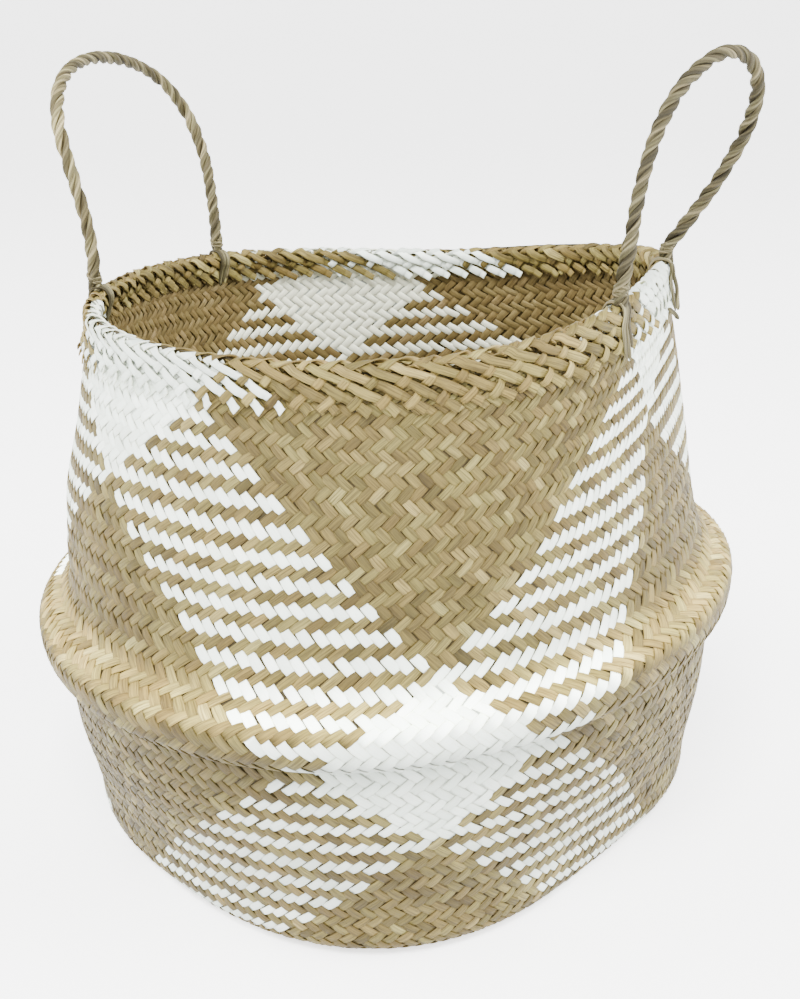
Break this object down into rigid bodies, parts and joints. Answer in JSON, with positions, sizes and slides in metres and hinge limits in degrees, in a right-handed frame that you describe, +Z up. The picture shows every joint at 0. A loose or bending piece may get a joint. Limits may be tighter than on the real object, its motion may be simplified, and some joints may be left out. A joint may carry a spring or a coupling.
{
  "type": "woven belly basket",
  "caption": "Round belly basket woven on the bias from flat plant strips, with a doubled border and rope handles that fold down.",
  "frame": {"origin": "the middle of the flat underside of the base", "axes": "+Z up through the mouth, the handles stand over +X and -X, -Y is the side the picture shows most of"},
  "size_m": [0.3651, 0.3939, 0.3982],
  "materials": {
    "natural_strip": "dry split sedge strips, matt with a faint sheen along the strip",
    "white_strip": "sedge strips painted matt white",
    "rope_strand": "twisted sedge strands, dry and fibrous"
  },
  "bodies": {
    "basket": {"woven_body": "natural_strip", "border_outer": "white_strip", "border_inner": "natural_strip", "rim_edge": "natural_strip", "lashing_left_front": "rope_strand", "lashing_left_back": "rope_strand", "lashing_right_front": "rope_strand", "lashing_right_back": "rope_strand", "strand_tail": "rope_strand", "strand_stub": "rope_strand"},
    "handle_left": {"handle_left_ply_1": "rope_strand", "handle_left_ply_2": "rope_strand", "handle_left_ply_3": "rope_strand", "handle_left_hitch_front": "rope_strand", "handle_left_hitch_back": "rope_strand"},
    "handle_right": {"handle_right_ply_1": "rope_strand", "handle_right_ply_2": "rope_strand", "handle_right_ply_3": "rope_strand", "handle_right_hitch_front": "rope_strand", "handle_right_hitch_back": "rope_strand"}
  },
  "joints": [
    {"name": "handle_left_fold", "type": "hinge", "parent": "basket", "child": "handle_left", "pos_m": [-0.1277, 0.01162, 0.29102], "axis": [-0.077, -0.996, 0.0464], "range_deg": [-88, 90]},
    {"name": "handle_right_fold", "type": "hinge", "parent": "basket", "child": "handle_right", "pos_m": [0.13771, -0.01743, 0.29996], "axis": [0.0925, 0.9955, 0.019], "range_deg": [-95, 50]}
  ]
}
